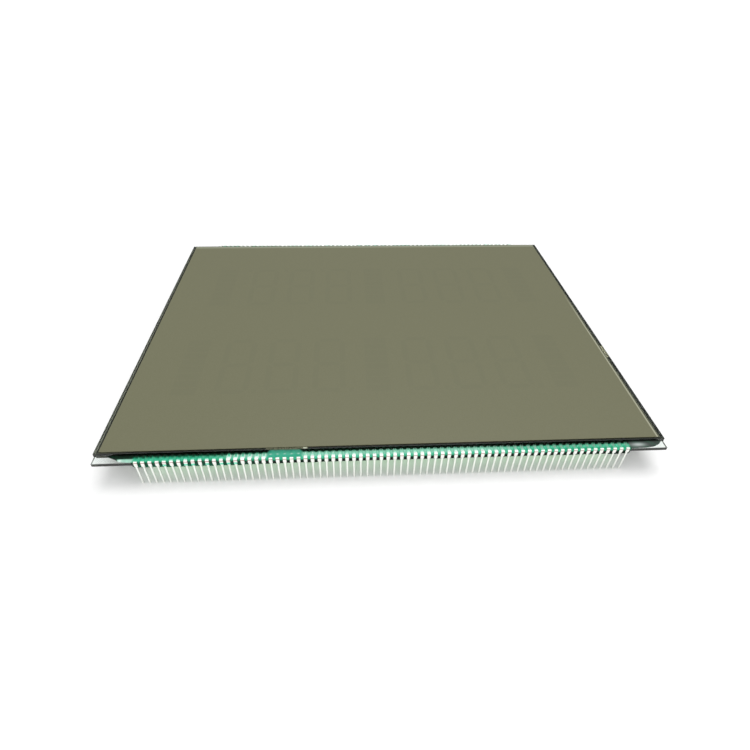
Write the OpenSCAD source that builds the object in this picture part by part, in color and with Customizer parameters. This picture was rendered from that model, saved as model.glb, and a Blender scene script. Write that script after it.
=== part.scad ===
// Segment display glass with a row of clip-on pins along its front and its back edge.
// Two glass plates hold a liquid crystal cell, and the display stands on its pins.
// Millimetres. X runs along the pin rows, the front row is on -Y, and Z = 0 is at the pin tips.

/* [Glass] */
// Width of both plates, along the pin rows
glass_w = 168.8; // [164:0.1:180]
// Depth of the front plate, across the pin rows
front_glass_d = 132.6; // [120:0.1:160]
// Thickness of the front plate
front_glass_t = 1.1; // [0.9:0.05:1.6]
// Thickness of the rear plate
rear_glass_t = 1.1; // [0.7:0.05:1.6]
// How far the rear plate stands out past the front plate at each pin row
ledge_d = 2.6; // [2.5:0.1:3.4]
// Bevel along the edges of each plate
arris = 0.1; // [0.05:0.01:0.2]

/* [Polarizers] */
// Bare glass left in front of and behind the front polarizer
polarizer_inset = 0.7; // [0.5:0.1:2]
// Bare glass left at each side of the front polarizer
polarizer_side_inset = 1.5; // [0.5:0.1:2.5]
// How far the rear polarizer stays inside the front plate's outline, all round
rear_polarizer_inset = 0.4; // [0.2:0.1:2]
// Thickness of each polarizer
polarizer_t = 0.2; // [0.1:0.01:0.3]
// Thickness of the reflector foil on the rear polarizer
reflector_t = 0.1; // [0.05:0.01:0.2]

/* [Cell] */
// Thickness of each clear electrode film
electrode_t = 0.02; // [0.01:0.005:0.03]
// Thickness of each alignment layer
alignment_t = 0.02; // [0.01:0.005:0.03]
// Thickness of the liquid crystal
crystal_t = 0.02; // [0.01:0.005:0.03]
// Bare glass outside the perimeter seal
seal_inset = 0.3; // [0.3:0.1:0.8]
// Width of the perimeter seal's line
seal_w = 1.4; // [1.3:0.1:2]
// Width of the filling port through the seal
port_w = 7; // [4:0.5:12]
// Place of the filling port along the right edge
port_y = -22; // [-40:1:40]
// Diameter of the conductive dots that join the two plates' films
dot_d = 0.8; // [0.5:0.05:0.9]
// How much wider than a dot the films' lands are, all round
land_margin = 0.15; // [0.1:0.01:0.3]

/* [Display] */
// Characters along each row, a seven-segment digit or a bar stack
cells_per_row = 9; // [7:1:9]
// Every how many characters a bar stack takes the place of a digit
bars_every = 4; // [2:1:6]
// Height of a character
digit_h = 30; // [20:0.5:36]
// Bare space between the two rows of characters
rows_gap = 24; // [14:1:34]
// Width of a segment's stroke
stroke = 2; // [1.4:0.1:2.4]
// Gap between neighbouring segments, measured along a stroke's centre line
segment_gap = 0.5; // [0.4:0.05:0.8]
// Width of the decimal point
point_w = 1.4; // [1:0.1:1.6]
// Width of one bar
bar_w = 8; // [6:0.1:8.5]
// Width of a lead
lead_w = 0.2; // [0.1:0.01:0.25]
// Spacing of leads that run side by side
lead_step = 0.4; // [0.38:0.01:0.44]

/* [Pins] */
// Spacing of the pins
pitch = 2; // [1.9:0.05:2.1]
// Thickness of the strip that the pins are stamped from
strip_t = 0.25; // [0.2:0.01:0.3]
// Width of a pin's clip
clip_w = 1; // [0.9:0.05:1.2]
// Width of a pin's leg
leg_w = 0.45; // [0.4:0.01:0.5]
// Length of a leg below the rear glass
leg_l = 7.6; // [5:0.1:12]
// Length of the taper at a leg's tip
taper_l = 0.7; // [0.4:0.1:1.2]
// Width of a leg's very tip
tip_w = 0.25; // [0.2:0.01:0.35]
// Radius of a clip's bends, at the middle of the strip
bend_r = 0.35; // [0.32:0.01:0.4]
// Radius where a finger touches the glass, at the middle of the strip
touch_r = 0.3; // [0.2:0.01:0.4]
// Slope of the upper finger down to its contact pad, in degrees
finger_slope = 12; // [8:1:16]
// Angle of the upper finger's turned-up end, in degrees
finger_flare = 35; // [25:1:40]
// Length of the upper finger's turned-up end
finger_end = 0.65; // [0.4:0.05:0.7]
// Width of the upper finger's end
finger_end_w = 0.6; // [0.4:0.05:0.8]
// Slope of the two lower fingers up to the glass, in degrees
prong_slope = 14; // [10:1:18]
// How far in from the glass's edge the lower fingers touch it
prong_reach = 1.6; // [1.2:0.1:2]
// Angle of the lower fingers' turned-down ends, in degrees
prong_flare = 25; // [15:1:30]
// Length of the lower fingers' turned-down ends
prong_end = 0.35; // [0.2:0.05:0.5]
// Slit between a pin's leg and the lower finger on each side of it
prong_slit = 0.04; // [0.02:0.01:0.08]
// Play between the glass's edge and a clip
clip_play = 0.05; // [0.02:0.01:0.1]

/* [Contact pads] */
// Width of a contact pad
pad_w = 1.2; // [0.8:0.1:1.5]
// Bare ledge in front of a contact pad
pad_gap = 0.2; // [0.1:0.05:0.4]
// Gap between the upper fingers' ends and the front plate
finger_gap = 0.45; // [0.3:0.05:0.6]

/* [Resin] */
// Height of the bead over a finger, at the front plate
bead_h = 0.76; // [0.74:0.01:1]
// Height of the bead between two fingers, at the front plate
valley_h = 0.26; // [0.2:0.01:0.5]
// How far the bead's front is lower than its back between two fingers
valley_fall = 0.1; // [0.02:0.01:0.15]
// Bare ledge between its bevel and the bead
bead_gap = 0.05; // [0.02:0.01:0.15]
// Height of the run-out past the last pin of a row
runout_h = 0.3; // [0.2:0.05:0.6]
// How far resin that ran down between two clips stands out from the rear plate's face
skirt_out = 0.2; // [0.1:0.01:0.2]
// How far it hangs below the rear plate
skirt_drop = 0.5; // [0.2:0.05:0.8]
// How far it reaches in under the rear plate
skirt_reach = 0.9; // [0.4:0.1:1.4]
// Bare glass left of the front row's run-out
runout_gap_left = 3.5; // [2:0.1:5]
// Bare glass right of the front row's run-out
runout_gap_right = 1; // [0.5:0.1:4]
// First pin under the thick patch in the front bead, counted from the left
patch_first = 20; // [2:1:30]
// Number of pins under the thick patch
patch_pins = 5; // [2:1:8]

/* [Hidden] */
$fn = 32;
eps = 0.01;

// Contacts of one character: seven segments and a point, or eight bars
CELL_PINS = 8;
row_pins = cells_per_row * CELL_PINS + 1;
row_half = (row_pins - 1) * pitch / 2;
cell_w = CELL_PINS * pitch;

// Levels, from the pin tips up
rear_glass_z = leg_l;
ledge_z = rear_glass_z + rear_glass_t;
pad_z = ledge_z + electrode_t;
rear_alignment_z = pad_z;
crystal_z = rear_alignment_z + alignment_t;
front_alignment_z = crystal_z + crystal_t;
common_z = front_alignment_z + alignment_t;
front_glass_z = common_z + electrode_t;
front_polarizer_z = front_glass_z + front_glass_t;
rear_polarizer_z = rear_glass_z - polarizer_t;
reflector_z = rear_polarizer_z - reflector_t;
cell_gap = front_glass_z - ledge_z;

// Plan sizes
rear_glass_d = front_glass_d + 2 * ledge_d;
polarizer_w = glass_w - 2 * polarizer_side_inset;
polarizer_d = front_glass_d - 2 * polarizer_inset;
rear_polarizer_w = glass_w - 2 * rear_polarizer_inset;
rear_polarizer_d = front_glass_d - 2 * rear_polarizer_inset;
seal_out_w = glass_w - 2 * seal_inset;
seal_out_d = front_glass_d - 2 * seal_inset;
seal_in_w = seal_out_w - 2 * seal_w;
seal_in_d = seal_out_d - 2 * seal_w;
dot_v = seal_inset + seal_w / 2;
land_d = dot_d + 2 * land_margin;

// Places in one character, from its left side and from the front plate's edge inwards
fan_v = seal_inset + seal_w + 2 * lead_step;
side_join = 2 * stroke;
digit_v = (front_glass_d - rows_gap) / 2 - digit_h;
left_leads = 4;
right_leads = 2;
digit_l = (left_leads + 0.5) * lead_step;
digit_r = cell_w - (right_leads + 2) * lead_step - point_w;
stroke_l = digit_l + stroke / 2;
stroke_r = digit_r - stroke / 2;
stroke_low = digit_v + stroke / 2;
stroke_mid = digit_v + digit_h / 2;
stroke_top = digit_v + digit_h - stroke / 2;
point_u = digit_r + (right_leads + 1) * lead_step + point_w / 2;
bar_l = (cell_w - bar_w) / 2;
bar_pitch = (digit_h + segment_gap) / CELL_PINS;
bar_h = bar_pitch - segment_gap;
bus_v = digit_v + digit_h + side_join;

// Every node of the model

// Points of an arc of radius r about c
function arc(c, r, from, to, steps) =
    [for (i = [0:steps]) let (a = from + (to - from) * i / steps) c + r * [cos(a), sin(a)]];

function heading(p, q) = (q - p) / norm(q - p);
function left_of(d) = [-d[1], d[0]];

// The point beside corner i of a path, mitred, at a distance to its left
function beside(path, i, distance) =
    let (last = len(path) - 1,
         n0 = left_of(heading(path[max(i - 1, 0)], path[max(i, 1)])),
         n1 = left_of(heading(path[min(i, last - 1)], path[min(i + 1, last)])))
    path[i] + distance * (n0 + n1) / (1 + n0 * n1);

// Outline of a strip of the given width along a path
function ribbon(path, width) =
    let (last = len(path) - 1)
    concat([for (i = [0:last]) beside(path, i, -width / 2)],
           [for (i = [last:-1:0]) beside(path, i, width / 2)]);

// A Y-Z profile along X, and an X-Z profile along Y, both centred
module along_x(length) {
    rotate([90, 0, 90]) linear_extrude(length, center = true) children();
}

module along_y(length) {
    rotate([90, 0, 0]) linear_extrude(length, center = true) children();
}

// A plate's section with its four edges bevelled
module plate_section(width, thickness) {
    half = width / 2;
    polygon([[-half + arris, 0], [half - arris, 0], [half, arris], [half, thickness - arris],
             [half - arris, thickness], [-half + arris, thickness], [-half, thickness - arris],
             [-half, arris]]);
}

module glass_plate(depth, thickness) {
    intersection() {
        along_y(depth) plate_section(glass_w, thickness);
        along_x(glass_w) plate_section(depth, thickness);
    }
}

module film(width, depth, thickness) {
    translate([-width / 2, -depth / 2, 0]) cube([width, depth, thickness]);
}

module front_polarizer() {
    color("#7c7c65") translate([0, 0, front_polarizer_z]) film(polarizer_w, polarizer_d, polarizer_t);
}

module front_glass() {
    color("#cfe0d4") translate([0, 0, front_glass_z]) glass_plate(front_glass_d, front_glass_t);
}

module rear_glass() {
    color("#bcd2c6") translate([0, 0, rear_glass_z]) glass_plate(rear_glass_d, rear_glass_t);
}

module rear_polarizer() {
    color("#5f604f") translate([0, 0, rear_polarizer_z])
        film(rear_polarizer_w, rear_polarizer_d, polarizer_t);
}

module reflector() {
    color("#b9bab2") translate([0, 0, reflector_z])
        film(rear_polarizer_w, rear_polarizer_d, reflector_t);
}

module front_alignment_layer() {
    color("#d8cfa0") translate([0, 0, front_alignment_z]) film(seal_in_w, seal_in_d, alignment_t);
}

module rear_alignment_layer() {
    color("#d8cfa0") translate([0, 0, rear_alignment_z]) film(seal_in_w, seal_in_d, alignment_t);
}

module liquid_crystal() {
    color("#a9b08f") translate([0, 0, crystal_z]) film(seal_in_w, seal_in_d, crystal_t);
}

// Turns the front row's half of the display about the centre, to make the rear row's
module rear_half() {
    rotate([0, 0, 180]) children();
}

// Places what is drawn from a row's first pin and from the front plate's edge inwards
module on_row() {
    translate([-row_half, -front_glass_d / 2, 0]) children();
}

function pin_u(i) = i * pitch;
function cell_u(i) = (i * CELL_PINS - 0.5) * pitch;
function is_bars(i) = i % bars_every == 0;

// A lead from contact k of a character up to a riser beside it, and on to the point that it serves.
// Level 0 turns off nearest to the contacts.
function lead_path(k, riser_u, level, target) =
    let (contact_u = (k + 0.5) * pitch, turn_v = fan_v + level * lead_step,
         start = [[contact_u, -pad_gap]],
         jog = abs(contact_u - riser_u) < lead_w / 2 ? [] : [[contact_u, turn_v], [riser_u, turn_v]],
         end = abs(target[0] - riser_u) < lead_w / 2 ? [target] : [[riser_u, target[1]], target])
    concat(start, jog, end);

function left_riser(n) = digit_l - n * lead_step;
function right_riser(n) = digit_r + n * lead_step;

// The middle segment's lead slips in between the lower left and the bottom segment
function inner_lead(k) =
    let (riser_u = left_riser(1), contact_u = (k + 0.5) * pitch, turn_v = fan_v + 3 * lead_step,
         inner_u = digit_l + stroke + lead_step)
    [[contact_u, -pad_gap], [contact_u, turn_v], [riser_u, turn_v], [riser_u, digit_v - lead_step],
     [inner_u, digit_v + stroke + lead_step], [inner_u, stroke_mid]];

// Leads of a digit, in the order of its contacts from the left
digit_leads = [
    lead_path(0, left_riser(4), 0, [stroke_l + segment_gap + stroke / 2, stroke_top]),
    lead_path(1, left_riser(3), 1, [stroke_l, (stroke_mid + stroke_top) / 2]),
    lead_path(2, left_riser(2), 2, [stroke_l, stroke_low + side_join]),
    inner_lead(3),
    lead_path(4, 4.5 * pitch, 0, [4.5 * pitch, stroke_low]),
    lead_path(5, right_riser(1), 1, [stroke_r, stroke_low + side_join]),
    lead_path(6, right_riser(2), 0, [stroke_r, (stroke_mid + stroke_top) / 2]),
    lead_path(7, point_u, 0, [point_u, stroke_low])
];

// A segment is a stroke with pointed ends, from p to q along X or along V
function level_segment(v) =
    let (a = stroke_l + segment_gap, b = stroke_r - segment_gap, s = stroke / 2)
    [[a, v], [a + s, v - s], [b - s, v - s], [b, v], [b - s, v + s], [a + s, v + s]];

function upright_segment(u, low, high) =
    let (a = low + segment_gap, b = high - segment_gap, s = stroke / 2)
    [[u, a], [u + s, a + s], [u + s, b - s], [u, b], [u - s, b - s], [u - s, a + s]];

function block(u, v, width, height) =
    [[u - width / 2, v], [u + width / 2, v], [u + width / 2, v + height], [u - width / 2, v + height]];

// Shapes of a digit, in the same order as its leads
digit_shapes = [
    level_segment(stroke_top),
    upright_segment(stroke_l, stroke_mid, stroke_top),
    upright_segment(stroke_l, stroke_low, stroke_mid),
    level_segment(stroke_mid),
    level_segment(stroke_low),
    upright_segment(stroke_r, stroke_low, stroke_mid),
    upright_segment(stroke_r, stroke_mid, stroke_top),
    block(point_u, digit_v, point_w, stroke)
];

// A bar stack is fed from both sides in turn, the lowest bars by the innermost contacts
function bar_v(n) = digit_v + n * bar_pitch;
function bar_index(k) = k < CELL_PINS / 2 ? 2 * (CELL_PINS / 2 - 1 - k) : 2 * (k - CELL_PINS / 2) + 1;
function bar_riser(k) =
    let (n = floor(bar_index(k) / 2) + 1)
    k < CELL_PINS / 2 ? bar_l - n * lead_step : bar_l + bar_w + n * lead_step;
function bar_level(k) = k < CELL_PINS / 2 ? k : CELL_PINS - 1 - k;

bar_leads = [for (k = [0:CELL_PINS - 1])
    lead_path(k, bar_riser(k), bar_level(k), [cell_w / 2, bar_v(bar_index(k)) + bar_h / 2])];
bar_shapes = [for (k = [0:CELL_PINS - 1])
    block(cell_w / 2, bar_v(bar_index(k)), bar_w, bar_h)];

// One contact pad on the ledge, drawn about its own middle line and up to the front plate's edge
module pad() {
    translate([-pad_w / 2, pad_gap - ledge_d]) square([pad_w, ledge_d - pad_gap]);
}

module cell_electrode(bars, k) {
    linear_extrude(electrode_t) union() {
        translate([(k + 0.5) * pitch, 0]) pad();
        polygon(ribbon(bars ? bar_leads[k] : digit_leads[k], lead_w));
        polygon(bars ? bar_shapes[k] : digit_shapes[k]);
    }
}

// The row's last contact has a land under a crossover dot
module common_contact() {
    linear_extrude(electrode_t) union() {
        pad();
        translate([-lead_w / 2, -pad_gap]) square([lead_w, pad_gap + dot_v]);
        translate([0, dot_v]) circle(d = land_d);
    }
}

module row_electrodes() {
    translate([0, 0, ledge_z]) on_row() {
        for (i = [0:cells_per_row - 1], k = [0:CELL_PINS - 1])
            translate([cell_u(i), 0]) cell_electrode(is_bars(i), k);
        translate([pin_u(row_pins - 1), 0]) common_contact();
    }
}

module front_row_electrodes() {
    color("#9fb7c9") row_electrodes();
}

module rear_row_electrodes() {
    color("#9fb7c9") rear_half() row_electrodes();
}

// The common film faces one row's segments, and leaves their leads uncovered
module common_cell(bars) {
    margin = lead_w / 2;
    width = bars ? bar_w : digit_r - digit_l;
    middle = bars ? cell_w / 2 : (digit_l + digit_r) / 2;
    difference() {
        polygon(block(middle, digit_v - margin, width + 2 * margin, digit_h + 2 * margin));
        if (!bars) polygon(ribbon(inner_lead(3), 2 * lead_w));
    }
    polygon(block(middle, digit_v + digit_h, stroke, bus_v + stroke / 2 - digit_v - digit_h));
    if (!bars) {
        polygon(block(point_u, digit_v - margin, point_w + 2 * margin, stroke + 2 * margin));
        polygon(block(point_u, digit_v, 2 * lead_w, bus_v + stroke / 2 - digit_v));
    }
}

module row_common() {
    end_u = pin_u(row_pins - 1);
    start_u = cell_u(0) + cell_w / 2;
    on_row() linear_extrude(electrode_t) union() {
        for (i = [0:cells_per_row - 1]) translate([cell_u(i), 0]) common_cell(is_bars(i));
        translate([start_u, bus_v]) square([end_u + lead_step - start_u, stroke]);
        translate([end_u - lead_step, dot_v]) square([2 * lead_step, bus_v + stroke - dot_v]);
        translate([end_u, dot_v]) circle(d = land_d);
    }
}

module common_electrodes() {
    color("#8fa9bd") translate([0, 0, common_z]) {
        row_common();
        rear_half() row_common();
    }
}

module row_dot(diameter, height) {
    on_row() translate([pin_u(row_pins - 1), dot_v]) cylinder(d = diameter, h = height);
}

module crossover_dots() {
    color("#c9ccd1") translate([0, 0, pad_z]) {
        row_dot(dot_d, common_z - pad_z);
        rear_half() row_dot(dot_d, common_z - pad_z);
    }
}

// What crosses the seal along one row: the leads below, the common film above and a dot between
module seal_crossings() {
    on_row() {
        for (k = [0:row_pins - 2])
            translate([pin_u(k) - lead_w / 2, 0, ledge_z]) cube([lead_w, fan_v, electrode_t]);
        translate([pin_u(row_pins - 1) - lead_w / 2, 0, ledge_z]) cube([lead_w, dot_v, electrode_t]);
        translate([pin_u(row_pins - 1) - lead_step, dot_v, common_z])
            cube([2 * lead_step, fan_v, electrode_t]);
    }
    translate([0, 0, ledge_z]) row_dot(land_d, electrode_t);
    translate([0, 0, common_z]) row_dot(land_d, electrode_t);
    translate([0, 0, ledge_z]) row_dot(dot_d, cell_gap);
}

module perimeter_seal() {
    color("#4a4436") difference() {
        translate([0, 0, ledge_z]) film(seal_out_w, seal_out_d, cell_gap);
        translate([0, 0, ledge_z - eps]) film(seal_in_w, seal_in_d, cell_gap + 2 * eps);
        translate([seal_in_w / 2 - eps, port_y - port_w / 2, ledge_z - eps])
            cube([seal_w + 2 * eps, port_w, cell_gap + 2 * eps]);
        seal_crossings();
        rear_half() seal_crossings();
    }
}

// The plug runs from the liquid crystal out to the plates' edges and fills the groove between their bevels
module end_seal() {
    inner = seal_in_w / 2;
    outer = glass_w / 2;
    color("#c8c2a4") translate([0, port_y, 0]) along_y(port_w)
        polygon([[inner, ledge_z], [outer - arris, ledge_z], [outer, ledge_z - arris],
                 [outer, front_glass_z + arris], [outer - arris, front_glass_z], [inner, front_glass_z]]);
}

// Places of a pin, in the Y-Z plane, from the rear glass's front edge
shoulder_y = -clip_play - strip_t / 2;
upper_bend_steps = 3;
lower_bend_steps = 2;
touch_steps = 2;
touch_y = ledge_d - finger_gap - finger_end * cos(finger_flare) - (touch_r + strip_t / 2) * sin(finger_flare);
touch_c = [touch_y, pad_z + strip_t / 2 + touch_r];
prong_c = [prong_reach, rear_glass_z - strip_t / 2 - touch_r];

// Height of a bend's centre, from where its finger's touching arc has to start
upper_bend_z = touch_c[1] - (touch_r + bend_r) * cos(finger_slope)
    + tan(finger_slope) * (touch_c[0] - shoulder_y - bend_r - (touch_r + bend_r) * sin(finger_slope));
lower_bend_z = prong_c[1] + (touch_r + bend_r) * cos(prong_slope)
    - tan(prong_slope) * (prong_c[0] - shoulder_y - bend_r - (touch_r + bend_r) * sin(prong_slope));

function end_of(path, angle, length) =
    concat(path, [path[len(path) - 1] + length * [cos(angle), sin(angle)]]);

// Middle line of the clip: up the shoulder, over the glass's edge, down to the pad and up again
clip_path = end_of(
    concat([[shoulder_y, lower_bend_z]],
           arc([shoulder_y + bend_r, upper_bend_z], bend_r, 180, 90 - finger_slope, upper_bend_steps),
           arc(touch_c, touch_r, -90 - finger_slope, -90 + finger_flare, touch_steps)),
    finger_flare, finger_end);

// Middle line of a lower finger: down from the shoulder, in under the glass, up to it and away
prong_path = end_of(
    concat([[shoulder_y, lower_bend_z + strip_t]],
           arc([shoulder_y + bend_r, lower_bend_z], bend_r, 180, 270 + prong_slope, lower_bend_steps),
           arc(prong_c, touch_r, 90 + prong_slope, 90 - prong_flare, touch_steps)),
    -prong_flare, prong_end);

prong_w = (clip_w - leg_w) / 2 - prong_slit;

// The clip's outline from above, narrower towards the upper finger's end
module clip_plan() {
    polygon([[-clip_w / 2, -strip_t - 2 * clip_play], [clip_w / 2, -strip_t - 2 * clip_play],
             [clip_w / 2, bend_r], [finger_end_w / 2, ledge_d], [-finger_end_w / 2, ledge_d],
             [-clip_w / 2, bend_r]]);
}

module clip() {
    intersection() {
        along_x(clip_w) polygon(ribbon(clip_path, strip_t));
        linear_extrude(front_polarizer_z) clip_plan();
    }
}

// One stamped and folded pin, at the rear glass's front edge
module pin() {
    clip();
    for (side = [-1, 1])
        translate([side * (clip_w - prong_w) / 2, 0, 0])
            along_x(prong_w) polygon(ribbon(prong_path, strip_t));
    translate([0, shoulder_y, 0]) along_y(strip_t)
        polygon([[-tip_w / 2, 0], [tip_w / 2, 0], [leg_w / 2, taper_l], [leg_w / 2, lower_bend_z + strip_t],
                 [-leg_w / 2, lower_bend_z + strip_t], [-leg_w / 2, taper_l]]);
}

module on_pin(i) {
    translate([pin_u(i) - row_half, -rear_glass_d / 2, 0]) children();
}

// One character's pins; the last bank also holds the common contact's
module pin_bank(bank) {
    first = (bank - 1) * CELL_PINS;
    last = first + CELL_PINS - (bank == cells_per_row ? 0 : 1);
    for (i = [first:last]) on_pin(i) pin();
}

module front_pins(bank) {
    color("#d9dad4") pin_bank(bank);
}

module rear_pins(bank) {
    color("#d9dad4") rear_half() pin_bank(bank);
}

// Side view of the bead: a quarter-round front that climbs to the front plate
bead_steps = 3;
bead_toe = arris + bead_gap;
function bead_y(t) = bead_toe + (ledge_d - bead_toe) * t * t;
function bead_side(height) =
    concat([[bead_toe, ledge_z], [ledge_d, ledge_z]],
           [for (i = [bead_steps:-1:1]) let (t = i / bead_steps)
               [bead_y(t), ledge_z + height * sin(90 * t)]]);

// Front view of the bead: a flat crest over each finger and a valley between two
function bead_crests() =
    let (crest_z = bead_h + valley_fall, foot_z = -valley_fall - bead_h,
         from_u = pin_u(-0.5), to_u = pin_u(row_pins - 0.5))
    concat([[from_u, foot_z], [to_u, foot_z]],
           [for (i = [row_pins - 1:-1:0], p = [[pitch, valley_h], [clip_w, crest_z], [-clip_w, crest_z]])
               [pin_u(i) + p[0] / 2, p[1]]],
           [[from_u, valley_h]]);

module on_ledge() {
    translate([0, -rear_glass_d / 2, 0]) children();
}

// A length of bead with one side view all along
module plain_bead(from_x, to_x, height) {
    on_ledge() translate([(from_x + to_x) / 2, 0, 0]) along_x(to_x - from_x) polygon(bead_side(height));
}

// The crests' front view, swept back along the valleys' slope
module crests() {
    fall = atan(valley_fall / ledge_d);
    sweep = 4 * ledge_d;
    on_ledge() translate([-row_half, 0, ledge_z - valley_fall]) rotate([90 + fall, 0, 0])
        linear_extrude(sweep, center = true) polygon(bead_crests());
}

// Resin that ran down between two clips: from under the bead, over the rear plate's edge, down its
// face and in under it
module skirts() {
    top_z = ledge_z + (valley_h - valley_fall) / 2;
    lap_y = bead_y(1 / bead_steps);
    for (i = [0:row_pins - 2])
        on_ledge() translate([pin_u(i + 0.5) - row_half, 0, 0]) along_x(pitch - clip_w)
            polygon([[-skirt_out, rear_glass_z - skirt_drop], [skirt_reach, rear_glass_z],
                     [0, rear_glass_z], [0, ledge_z], [lap_y, ledge_z], [lap_y, top_z],
                     [-skirt_out, ledge_z]]);
}

// A low run-out past the right end of a row, rounded off towards the ledge's front edge
module runout(from_x, to_x) {
    intersection() {
        plain_bead(from_x, to_x, runout_h);
        on_ledge() linear_extrude(front_glass_z)
            polygon(concat([[from_x, ledge_d], [from_x, 0]],
                           arc([to_x - ledge_d, ledge_d], ledge_d, -90, 0, bead_steps)));
    }
}

module pads_and_fingers() {
    for (i = [0:row_pins - 1]) {
        translate([0, 0, ledge_z]) on_row() translate([pin_u(i), 0, 0]) linear_extrude(electrode_t) pad();
        on_pin(i) clip();
    }
}

module bead(left_gap, right_gap, patch) {
    row_end = row_half + pitch / 2;
    patch_x = (patch_first - 1) * pitch - row_end;
    difference() {
        union() {
            intersection() {
                plain_bead(-row_end, row_end, bead_h);
                crests();
            }
            mirror([1, 0, 0]) runout(row_end - bead_gap, glass_w / 2 - left_gap);
            runout(row_end - bead_gap, glass_w / 2 - right_gap);
            skirts();
            if (patch) plain_bead(patch_x, patch_x + patch_pins * pitch, cell_gap + front_glass_t);
        }
        pads_and_fingers();
    }
}

module front_resin() {
    color("#2fae7d") bead(runout_gap_left, runout_gap_right, true);
}

module rear_resin() {
    color("#2fae7d") rear_half() bead(runout_gap_left, runout_gap_left, false);
}

front_polarizer();
front_glass();
common_electrodes();
front_alignment_layer();
liquid_crystal();
perimeter_seal();
end_seal();
crossover_dots();
rear_alignment_layer();
front_row_electrodes();
rear_row_electrodes();
rear_glass();
rear_polarizer();
reflector();
front_resin();
rear_resin();
for (bank = [1:cells_per_row]) {
    front_pins(bank);
    rear_pins(bank);
}
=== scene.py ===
"""A segment display glass that stands on its clip-on pins, seen on a pale studio floor."""
import math
import random

import bpy
import numpy as np
from mathutils import Matrix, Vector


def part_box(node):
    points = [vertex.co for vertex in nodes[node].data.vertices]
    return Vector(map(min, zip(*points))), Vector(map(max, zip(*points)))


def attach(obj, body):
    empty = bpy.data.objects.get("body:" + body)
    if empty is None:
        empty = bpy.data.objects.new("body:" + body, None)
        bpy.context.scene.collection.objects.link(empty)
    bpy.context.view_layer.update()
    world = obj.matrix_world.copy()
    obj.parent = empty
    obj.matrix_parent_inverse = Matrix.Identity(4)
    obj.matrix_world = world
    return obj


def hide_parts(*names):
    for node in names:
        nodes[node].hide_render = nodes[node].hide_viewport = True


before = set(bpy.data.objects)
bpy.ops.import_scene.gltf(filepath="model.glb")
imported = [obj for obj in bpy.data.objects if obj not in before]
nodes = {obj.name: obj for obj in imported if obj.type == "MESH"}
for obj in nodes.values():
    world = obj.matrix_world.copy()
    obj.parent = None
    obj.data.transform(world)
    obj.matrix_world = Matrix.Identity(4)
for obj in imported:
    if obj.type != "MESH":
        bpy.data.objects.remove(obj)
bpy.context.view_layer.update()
bpy.ops.object.select_all(action="DESELECT")

# Rear plate
# The lower of two sheets of soda-lime glass, scribed and broken to size with its edges ground to a
# small dull bevel. It is longer than the front plate by a ledge along each pin row.
MM = 0.001
CONTACT = 0.005 * MM
GROUND_EDGE = 0.1 * MM
GROUND_STEPS = 2
GLASS_IOR = 1.52
EDGE_ROUGHNESS = 0.35
FACE_ROUGHNESS = 0.01
FLAT_FROM = (0.95, 0.995)
GLASS_TINT = (0.97, 1.0, 0.985, 1)
# Painted shade: the ground and cut tints darken the plate's edges
GROUND_SHADE_TINT = (0.22, 0.25, 0.21, 1)
CUT_SHADE_TINT = (0.035, 0.042, 0.03, 1)
PALE_END_X = (-84.3, -81.5)
LEDGE_FROM_Y = (66.4, 66.6)
GLASS_GREEN = (0.28, 0.74, 0.45, 1)
GLASS_DENSITY = 40


def make_finish(name, color, roughness, shine=0.5):
    """A new material with one shader: its colour, plain roughness and the strength of its gloss."""
    finish = bpy.data.materials.new(name)
    finish.use_nodes = True
    shader = finish.node_tree.nodes["Principled BSDF"]
    shader.inputs["Base Color"].default_value = color
    shader.inputs["Roughness"].default_value = roughness
    shader.inputs["Specular IOR Level"].default_value = shine
    return finish, shader


def calc(tree, operation, *values):
    """A math node on sockets or numbers. Gives its output socket."""
    node = tree.nodes.new("ShaderNodeMath")
    node.operation = operation
    for socket, value in zip(node.inputs, values):
        if isinstance(value, bpy.types.NodeSocket):
            tree.links.new(value, socket)
        else:
            socket.default_value = value
    return node.outputs["Value"]


def ramp_between(tree, value, limits, at_low=0, at_high=1):
    """A smooth change of a value between two limits."""
    spread = tree.nodes.new("ShaderNodeMapRange")
    spread.interpolation_type = "SMOOTHSTEP"
    tree.links.new(value, spread.inputs["Value"])
    for name, number in zip(("From Min", "From Max", "To Min", "To Max"), (*limits, at_low, at_high)):
        spread.inputs[name].default_value = number
    return spread.outputs["Result"]


def ramp_mm(tree, value, limits, at_low=0, at_high=1):
    """The same for a length, with its limits in millimetres."""
    return ramp_between(tree, value, [limit * MM for limit in limits], at_low, at_high)


def choose(tree, factor, a, b):
    """A colour between two sockets or colours."""
    blend = tree.nodes.new("ShaderNodeMix")
    blend.data_type = "RGBA"
    tree.links.new(factor, blend.inputs["Factor"])
    for value, socket in ((a, blend.inputs["A"]), (b, blend.inputs["B"])):
        if isinstance(value, bpy.types.NodeSocket):
            tree.links.new(value, socket)
        else:
            socket.default_value = value
    return blend.outputs["Result"]


def find_place(tree):
    """The place on the object, as one socket for each of X, Y and Z."""
    place = tree.nodes.new("ShaderNodeTexCoord")
    part = tree.nodes.new("ShaderNodeSeparateXYZ")
    tree.links.new(place.outputs["Object"], part.inputs["Vector"])
    return part.outputs


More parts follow.
